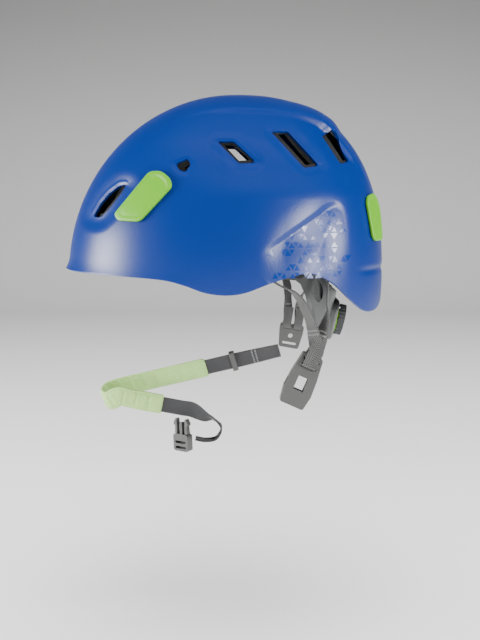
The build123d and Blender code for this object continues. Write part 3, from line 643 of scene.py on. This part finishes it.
finish_nodes(cradle_grey, "plastic_grey", "headband", "cradle_frame", "tension_strap_left", "tension_strap_right",
             "clip_posts")
finish_nodes(pod_grey, "plastic_light", "cradle_cover", "click_ring")
finish_nodes(buckle_grey, "plastic_grey", "buckle_female", "buckle_male", "buckle_prong_front", "buckle_prong_rear",
             "strap_divider", "strap_keeper")
finish_nodes(tongue_grey, "plastic_light", "toothed_tongue_left", "toothed_tongue_right", "pinion")
finish_nodes(wheel_grey, "wheel_rubber", "adjuster_wheel")
finish_nodes(ring_lime, "clip_lime", "wheel_ring")
finish_nodes(socket_black, "plastic_grey", "pin_socket_left", "pin_socket_right", "cradle_pin_left",
             "cradle_pin_right", "strap_anchor_front_left", "strap_anchor_front_right", "strap_anchor_rear_left",
             "strap_anchor_rear_right")
finish_nodes(spring_steel, "steel_spring", "cover_screws")

# -------------------------------------------------------------------- pads
# Sewn pads of knit fabric over soft foam: flat where they meet the plastic, crowned towards the
# head, with a bound edge, a sunk seam and pressed channels across them.
knit, nodes, links, shader = new_material("pad_knit", (0.022, 0.023, 0.025), 0.88)
shader.inputs["Sheen Weight"].default_value = 0.25
place = nodes.new("ShaderNodeNewGeometry")
loops = nodes.new("ShaderNodeTexVoronoi")
loops.inputs["Scale"].default_value = 950.0
loops.inputs["Randomness"].default_value = 0.35
bump = nodes.new("ShaderNodeBump")
bump.inputs["Strength"].default_value = 0.6
bump.inputs["Distance"].default_value = 0.0004
bump.invert = True
shade = nodes.new("ShaderNodeMapRange")
shade.inputs["To Min"].default_value = 0.034
shade.inputs["To Max"].default_value = 0.012
links.new(place.outputs["Position"], loops.inputs["Vector"])
links.new(loops.outputs["Distance"], bump.inputs["Height"])
links.new(loops.outputs["Distance"], shade.inputs["Value"])
links.new(shade.outputs["Result"], shader.inputs["Base Color"])
links.new(bump.outputs["Normal"], shader.inputs["Normal"])


def spow(value, power):
    """A power that keeps its sign."""
    return np.sign(value) * np.abs(value) ** power


def brow_place(u, v, inset):
    """The lining's front: u across, v up."""
    front, rear, side = dome_sections(v + 16, inset)
    y = dome_mid - front * (1 - np.clip(np.abs(u) / side, 0, 1) ** plan_round) ** (1 / plan_round)
    return np.stack([u, y, v + 16], axis=1)


def side_place(sign):
    """The lining's side: u along, v up."""
    def place(u, v, inset):
        y, z = u + 1, v + 13
        return np.stack([sign * half_width(y, z, inset), y, z], axis=1)
    return place


def crown_place(u, v, inset):
    """The lining's top: u across, v along."""
    low, high = np.full(len(u), 60.0), np.full(len(u), dome_top - inset - 0.001)
    for _ in range(40):
        middle = (low + high) / 2
        front, rear, side = dome_sections(middle, inset)
        reach = np.where(v >= 0, rear, front)
        outside = (np.abs(u) / side) ** plan_round + (np.abs(v) / reach) ** plan_round > 1
        high, low = np.where(outside, middle, high), np.where(outside, low, middle)
    return np.stack([u, v + dome_mid, low], axis=1)


pod_tilt = radians(13.0)


def nape_place(u, v, depth):
    """The pod's front face, in the pod's own plane: u across, v up; depth counts forward from it."""
    out = -(2.0 + 1.8 + 0.5) - depth
    narrow = 1 - 0.44 * smooth(11, 17, -v)
    y = 87.0 + v * sin(pod_tilt) + out * cos(pod_tilt)
    z = -39.0 + v * cos(pod_tilt) - out * sin(pod_tilt)
    return np.stack([-u * narrow, y, z], axis=1)


def cushion(name, node, body, place, wide, high, depth_from, thick, channel, centre_v=0.0):
    """A sewn pad over place(u, v, depth), riding on body and standing for node."""
    spokes = 128
    angle = 2 * pi * np.arange(spokes) / spokes
    rim = np.stack([wide / 2 * spow(np.cos(angle), 0.45), high / 2 * spow(np.sin(angle), 0.45)], axis=1)
    shares = np.concatenate([np.linspace(0.04, 0.84, 26), [0.865, 0.885, 0.905, 0.94, 0.97, 0.99, 1.0]])
    crown = np.interp(shares, [0, 0.5, 0.78, 0.84, 0.885, 0.92, 0.96, 0.99, 1],
                      [1, 0.96, 0.82, 0.7, 0.42, 0.62, 0.6, 0.4, 0.2])
    verts = []
    for share, height in zip(shares, crown):
        u, v = (rim * share).T
        press = 0.30 * np.exp(-(((u + channel / 2) % channel - channel / 2) / 1.3) ** 2) if share < 0.84 else 0.0
        verts.extend(place(u, v + centre_v, depth_from + thick * height * (1 - press)))
    for share in (1.0, 0.7, 0.35):
        u, v = (rim * share).T
        verts.extend(place(u, v + centre_v, np.full(len(u), depth_from)))
    tip = np.zeros(1)
    verts.extend(place(tip, tip + centre_v, np.full(1, depth_from + thick * (0.7 if channel < wide else 1.0))))
    verts.extend(place(tip, tip + centre_v, np.full(1, depth_from)))
    layers = len(shares) + 3
    faces = ring_faces(spokes, layers)
    for i in range(spokes):
        j = (i + 1) % spokes
        faces.append((j, i, layers * spokes))
        faces.append(((layers - 1) * spokes + i, (layers - 1) * spokes + j, layers * spokes + 1))
    pad = add_mesh(name, np.array(verts) * mm, faces)
    turn_outward(pad)
    pad.data.materials.append(knit)
    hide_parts(node)
    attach(pad, body)
    return pad


cushion("sewn_brow_pad", "brow_pad", "shell", brow_place, 124, 22, 25.5, 5.5, 20.6)
cushion("sewn_crown_pad", "crown_pad", "shell", crown_place, 52, 74, 22.5, 5.5, 17.3)
cushion("sewn_side_pad_left", "side_pad_left", "shell", side_place(1), 66, 16, 25.5, 5.5, 22)
cushion("sewn_side_pad_right", "side_pad_right", "shell", side_place(-1), 66, 16, 25.5, 5.5, 22)
cushion("sewn_nape_pad", "nape_pad", "cradle", nape_place, 46, 40, 0.0, 5.0, 15.3, centre_v=-5.0)

# ----------------------------------------------------------------- straps
# Woven polyester webbing with bound selvedges, led from the liner's anchors to the buckle
# on the left and the divider on the right, turned back through their slots and tacked.
def weave(name, dark, pale, chevron):
    """Webbing woven in chevrons that run along the strap."""
    material, nodes, links, shader = new_material(name, pale, 0.72)
    shader.inputs["Sheen Weight"].default_value = 0.15
    along = nodes.new("ShaderNodeUVMap")
    fold = nodes.new("ShaderNodeVectorMath")
    fold.operation = "ABSOLUTE"
    bands = nodes.new("ShaderNodeTexWave")
    bands.bands_direction = "DIAGONAL"
    bands.inputs["Scale"].default_value = chevron
    yarn = nodes.new("ShaderNodeTexNoise")
    yarn.inputs["Scale"].default_value = 3.0
    mix = nodes.new("ShaderNodeMix")
    mix.data_type = "RGBA"
    mix.inputs["A"].default_value = (*dark, 1)
    mix.inputs["B"].default_value = (*pale, 1)
    bump = nodes.new("ShaderNodeBump")
    bump.inputs["Strength"].default_value = 0.8
    bump.inputs["Distance"].default_value = 0.0004
    links.new(along.outputs["UV"], fold.inputs[0])
    links.new(fold.outputs["Vector"], bands.inputs["Vector"])
    links.new(along.outputs["UV"], yarn.inputs["Vector"])
    links.new(bands.outputs["Fac"], mix.inputs["Factor"])
    links.new(mix.outputs["Result"], shader.inputs["Base Color"])
    links.new(bands.outputs["Fac"], bump.inputs["Height"])
    links.new(bump.outputs["Normal"], shader.inputs["Normal"])
    return material


webbing_grey = weave("grey_webbing", (0.004, 0.004, 0.004), (0.10, 0.10, 0.098), 0.36)
webbing_dark = weave("dark_webbing", (0.010, 0.010, 0.011), (0.035, 0.035, 0.038), 0.42)
thread, nodes, links, shader = new_material("tack_thread", (0.30, 0.30, 0.30), 0.6)
twist = nodes.new("ShaderNodeTexNoise")
twist.inputs["Scale"].default_value = 2200.0
bump = nodes.new("ShaderNodeBump")
bump.inputs["Strength"].default_value = 0.5
bump.inputs["Distance"].default_value = 0.0002
links.new(twist.outputs["Fac"], bump.inputs["Height"])
links.new(bump.outputs["Normal"], shader.inputs["Normal"])

edge_across = np.array([-0.5, -0.49, -0.43, -0.37, -0.2, 0, 0.2, 0.37, 0.43, 0.49, 0.5])
edge_thick = np.array([0.15, 0.7, 1, 0.84, 0.8, 0.82, 0.8, 0.84, 1, 0.7, 0.15])


def strap_ways(line, wide_way):
    """The run, the way along, the squared-up way across and the outward way at each point of a line."""
    way = np.gradient(line, axis=0)
    way /= np.linalg.norm(way, axis=1, keepdims=True)
    wide_way -= way * np.sum(way * wide_way, axis=1, keepdims=True)
    wide_way /= np.linalg.norm(wide_way, axis=1, keepdims=True)
    run = np.concatenate([[0], np.cumsum(np.linalg.norm(np.diff(line, axis=0), axis=1))])
    return run, way, wide_way, np.cross(way, wide_way)


def strap_mesh(name, rings, run, beside):
    """A closed strip through rings of points (mm), laid flat by its run and each point's place across."""
    layers, count = rings.shape[:2]
    faces = ring_faces(count, layers)
    faces.append(tuple(range(count))[::-1])
    faces.append(tuple((layers - 1) * count + i for i in range(count)))
    piece = add_mesh(name, rings.reshape(-1, 3) * mm, faces)
    layer = piece.data.uv_layers.new(name="UVMap")
    flat = np.stack([np.repeat(run, count), beside], axis=1)
    corner = np.zeros(len(piece.data.loops), int)
    piece.data.loops.foreach_get("vertex_index", corner)
    layer.data.foreach_set("uv", flat[corner].reshape(-1))
    return piece


def webbing(name, path, across, widths, wall, material, steps=10):
    """A woven strap along path (mm), its width lying along across, with rounded selvedges."""
    line = curve_through(path, steps)
    wide_way = curve_through(across, steps)
    widths = curve_through([(w, 0) for w in widths], steps)[:, 0]
    run, way, wide_way, out_way = strap_ways(line, wide_way)
    w = np.concatenate([edge_across, edge_across[::-1]])
    t = np.concatenate([edge_thick, -edge_thick[::-1]]) * wall / 2
    rings = line[:, None, :] + wide_way[:, None, :] * (w[None, :] * widths[:, None])[:, :, None] \
        + out_way[:, None, :] * t[None, :, None]
    strap = strap_mesh(name, rings, run, (w[None, :] * widths[:, None]).reshape(-1))
    turn_outward(strap)
    strap.data.materials.append(material)
    return strap, line, way, wide_way, out_way


def tacks(name, spots, long, thick):
    """Short raised stitches: each spot is a middle, a direction and an outward way, in millimetres."""
    verts, faces = [], []
    for middle, way, out in spots:
        beside = np.cross(way, out)
        first = len(verts)
        for end, swell in ((-0.5, 0.3), (-0.25, 1), (0.25, 1), (0.5, 0.3)):
            for turn in range(6):
                a = pi * turn / 3
                verts.append((middle + way * long * end + (beside * cos(a) + out * sin(a)) * thick / 2 * swell) * mm)
        for ring in range(3):
            for i in range(6):
                j = (i + 1) % 6
                faces.append((first + ring * 6 + i, first + ring * 6 + j, first + ring * 6 + 6 + j,
                              first + ring * 6 + 6 + i))
        faces.append(tuple(first + i for i in range(6))[::-1])
        faces.append(tuple(first + 18 + i for i in range(6)))
    piece = add_mesh(name, verts, faces)
    piece.data.materials.append(thread)
    return piece


def tack_block(line, way, wide_way, out_way, at, width, wall):
    """Places for two zigzag bars of stitches across a strap, on both faces, at a point of its run."""
    spots = []
    for bar in (-1.6, 1.6):
        for k in range(9):
            share = (k - 4) / 9
            lean = 0.5 if k % 2 else -0.5
            middle = line[at] + way[at] * bar + wide_way[at] * width * share
            run = way[at] + wide_way[at] * lean
            run = run / np.linalg.norm(run)
            for face in (-1, 1):
                spots.append((middle + out_way[at] * face * wall * 0.52, run, out_way[at] * face))
    return spots


lean = radians(10.0)
down_way = np.array([0, -sin(lean), -cos(lean)])
slot_way = np.array([0, cos(lean), -sin(lean)])
side_way = np.array([1.0, 0, 0])
yoke_top = np.array([82.2, 61.0, -55.8])
buckle_lean = radians(24.0)
buckle_down = np.array([0, -sin(buckle_lean), -cos(buckle_lean)])
buckle_slot = np.array([0, cos(buckle_lean), -sin(buckle_lean)])
buckle_top = np.array([82.2, 69.0, -59.4])


def mirrored(points):
    """Points or ways reflected to the wearer's right."""
    return [np.array(p) * (-1, 1, 1) for p in points]


front_lead = [(86.5, 36.5, -1.0), (86.5, 44, -5.5), (86.6, 53, -10), (87.2, 61, -20), (88.2, 66.5, -33)]
rear_lead = [(78.5, 79.8, -1.0), (79.2, 80.4, -9), (82.0, 80.0, -20), (86.8, 77.5, -34)]
left_ways = {
    "front": (front_lead, [(1, 0, 0), (1, .1, 0), (.9, .45, -.1), (.72, .65, -.2), (.72, .65, -.2)]),
    "rear": (rear_lead, [(1, 0, 0), (1, -.1, 0), (.95, -.25, 0), (.85, .45, -.1)]),
}
harness_wall = 1.5
stitching = {"left": [], "right": []}
for name, drop, outside in (("front", 3.6, 5.9), ("rear", 9.4, 7.7)):
    lead, ways = left_ways[name]
    slot_spot = buckle_top + buckle_down * drop
    path = [np.array(p, float) for p in lead]
    path += [buckle_top - buckle_down * 6 + side_way * (outside - 0.6), buckle_top + side_way * outside,
             slot_spot + side_way * outside - buckle_down * 0.9, slot_spot + side_way * 3.4,
             slot_spot - side_way * 3.4, slot_spot - side_way * (outside - 0.4) - buckle_down * 0.9,
             buckle_top - side_way * (outside - 0.6) - buckle_down,
             buckle_top - buckle_down * 8 + side_way * (outside - 4.4),
             buckle_top - buckle_down * 15 + side_way * (outside - 2.6)]
    across = [np.array(p, float) for p in ways] + [buckle_slot] * 9
    widths = [11] * (len(path) - 2) + [10.4, 9.6]
    strap, line, way, wide_way, out_way = webbing(f"woven_strap_{name}_left", path, across, widths, harness_wall,
                                                  webbing_grey, 8)
    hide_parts(f"strap_{name}_left")
    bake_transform(strap)
    stitching["left"] += tack_block(line, way, wide_way, out_way, (len(lead) - 1) * 8 + 3, 10, harness_wall)

for name, shift in (("front", -5.2), ("rear", 5.2)):
    lead, ways = left_ways[name]
    slot_spot = yoke_top + down_way * 3.8 + slot_way * shift
    top_spot = yoke_top + slot_way * shift
    path = [np.array(p, float) - (0.6, 0.35 * max(0.0, -6 - p[2]), 0) for p in lead]
    path += [top_spot - down_way * 6 + side_way * 3.4, top_spot + side_way * 3.3, slot_spot + side_way * 1.9,
             slot_spot - side_way * 1.9, top_spot - side_way * 3.3,
             top_spot - down_way * 8 - side_way * 0.2, top_spot - down_way * 15 + side_way * 1.9]
    across = [np.array(p, float) for p in ways] + [slot_way] * 7
    widths = [11.0] * (len(lead) - 1) + [9.6, 8.2, 7.6, 7.6, 7.6, 7.6, 8.0, 8.0]
    strap, line, way, wide_way, out_way = webbing(f"woven_strap_{name}_right", mirrored(path), mirrored(across), widths,
                                                  harness_wall, webbing_grey, 8)
    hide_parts(f"strap_{name}_right")
    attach(strap, "harness_right")
    stitching["right"] += tack_block(line, way, wide_way, out_way, (len(lead) - 1) * 8 + 3, 8, harness_wall)
for side_name in ("left", "right"):
    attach(tacks(f"strap_tacks_{side_name}", stitching[side_name], 1.7, 0.5), f"harness_{side_name}")

# -------------------------------------------------------------- chin strap
# One length of dark webbing makes the chin loop: from the divider forward, round, and back to
# the male buckle. A quilted lime sleeve slides on it, and a plastic keeper holds the first leg.
chin_top = np.array([-82.2, 61.0, -55.8]) + down_way * 23.0
leg_out = np.array([0.3, -0.25, 0.92]) / np.linalg.norm([0.3, -0.25, 0.92])
leg_way = np.array([-0.08, -0.965, -0.25])
leg_way = leg_way - leg_out * (leg_way @ leg_out)
leg_way /= np.linalg.norm(leg_way)
leg_side = np.cross(leg_out, leg_way)
back_out = np.array([0.2, 0.2, 0.95]) / np.linalg.norm([0.2, 0.2, 0.95])
back_way = np.array([-0.05, 0.98, -0.19])
back_way = back_way - back_out * (back_way @ back_out)
back_way /= np.linalg.norm(back_way)


def leg_spot(along, beside):
    """A point in the loop's plane."""
    return chin_top + leg_way * along + leg_side * beside


back_top = leg_spot(154, 24)
loop_path = [leg_spot(a, 0) for a in (8, 40, 78, 110, 140, 158)]
loop_ways = [leg_out] * 6
for turn in (30, 60, 90, 120, 150):
    loop_path.append(leg_spot(164 + 12 * sin(radians(turn)), 12 - 12 * cos(radians(turn))))
    loop_ways.append(leg_out)
for a in (-6, 4, 16, 34, 52, 62):
    loop_path.append(back_top + back_way * a)
    loop_ways.append(back_out if a > 4 else (leg_out + back_out) / 2)
sleeve_from, sleeve_to = 2, len(loop_path) - 2
fold_x = back_top[0] - 1.5
fold_path = [(-20, -140.6), (-11, -143.5), (-4.5, -151), (-9, -160.5), (-19, -162.6), (-28.5, -161)]
fold_ways = [(.6, .1, .7), (1, 0, .3)] + [(1, 0, 0)] * 4
strap_path = loop_path + [np.array((fold_x, y, z), float) for y, z in fold_path]
chin_across = loop_ways + [np.array(p, float) for p in fold_ways]
chin_widths = [13.0] + [15.0] * (len(strap_path) - 1)
chin_wall = 1.6
chin, line, way, wide_way, out_way = webbing("woven_chin_strap", strap_path, chin_across, chin_widths, chin_wall,
                                             webbing_dark, 8)
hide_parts("chin_strap")
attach(chin, "chin_loop")
chin_stitches = []
for at in (6, (len(strap_path) - 5) * 8):
    chin_stitches += tack_block(line, way, wide_way, out_way, at, 14, chin_wall)
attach(tacks("chin_tacks", chin_stitches, 1.9, 0.55), "chin_loop")

lime_mesh, nodes, links, shader = new_material("lime_sleeve_knit", (0.42, 0.64, 0.20), 0.55)
shader.inputs["Sheen Weight"].default_value = 0.3
shader.inputs["Subsurface Weight"].default_value = 0.15
shader.inputs["Subsurface Scale"].default_value = 0.003
along = nodes.new("ShaderNodeUVMap")
cells = nodes.new("ShaderNodeTexVoronoi")
cells.inputs["Scale"].default_value = 0.85
cells.inputs["Randomness"].default_value = 0.25
shade = nodes.new("ShaderNodeMix")
shade.data_type = "RGBA"
shade.inputs["A"].default_value = (0.24, 0.46, 0.08, 1)
shade.inputs["B"].default_value = (0.52, 0.76, 0.30, 1)
bump = nodes.new("ShaderNodeBump")
bump.inputs["Strength"].default_value = 0.6
bump.inputs["Distance"].default_value = 0.0005
links.new(along.outputs["UV"], cells.inputs["Vector"])
links.new(cells.outputs["Distance"], shade.inputs["Factor"])
links.new(shade.outputs["Result"], shader.inputs["Base Color"])
links.new(cells.outputs["Distance"], bump.inputs["Height"])
links.new(bump.outputs["Normal"], shader.inputs["Normal"])

sleeve_line = curve_through(loop_path[sleeve_from:sleeve_to], 16)
sleeve_wide = curve_through(loop_ways[sleeve_from:sleeve_to], 16)
run, _, sleeve_wide, sleeve_out = strap_ways(sleeve_line, sleeve_wide)
around = 40
angle = 2 * pi * np.arange(around) / around
half_wide = np.interp(np.minimum(run, run[-1] - run), [0, 0.6, 2.5], [8.3, 9.2, 9.5])
half_thick = np.interp(np.minimum(run, run[-1] - run), [0, 0.6, 2.5], [1.2, 2.0, 2.5])
w = spow(np.cos(angle), 0.8)
t = spow(np.sin(angle), 0.75)
piping = np.exp(-((np.abs(w) - 0.80) / 0.06) ** 2)
quilt = 0.22 * np.exp(-(((run + 6) % 12 - 6) / 1.1) ** 2)
ripple = 0.05 * np.sin(run * 0.9)[:, None] * np.cos(2 * angle + run[:, None] * 0.21)
swell = (1 - 0.35 * piping[None, :]) * (1 - quilt[:, None] * (np.abs(w) < 0.78)) * 0.92 + ripple
sleeve_rings = sleeve_line[:, None, :] + sleeve_wide[:, None, :] * (w[None, :] * half_wide[:, None])[:, :, None] \
    + sleeve_out[:, None, :] * (t[None, :] * half_thick[:, None] * np.clip(swell, 0.45, 1))[:, :, None]
sleeve = strap_mesh("quilted_sleeve", sleeve_rings, run, np.tile(angle * 8, len(sleeve_line)))
turn_outward(sleeve)
sleeve.data.materials.append(lime_mesh)
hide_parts("chin_sleeve")
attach(sleeve, "chin_loop")
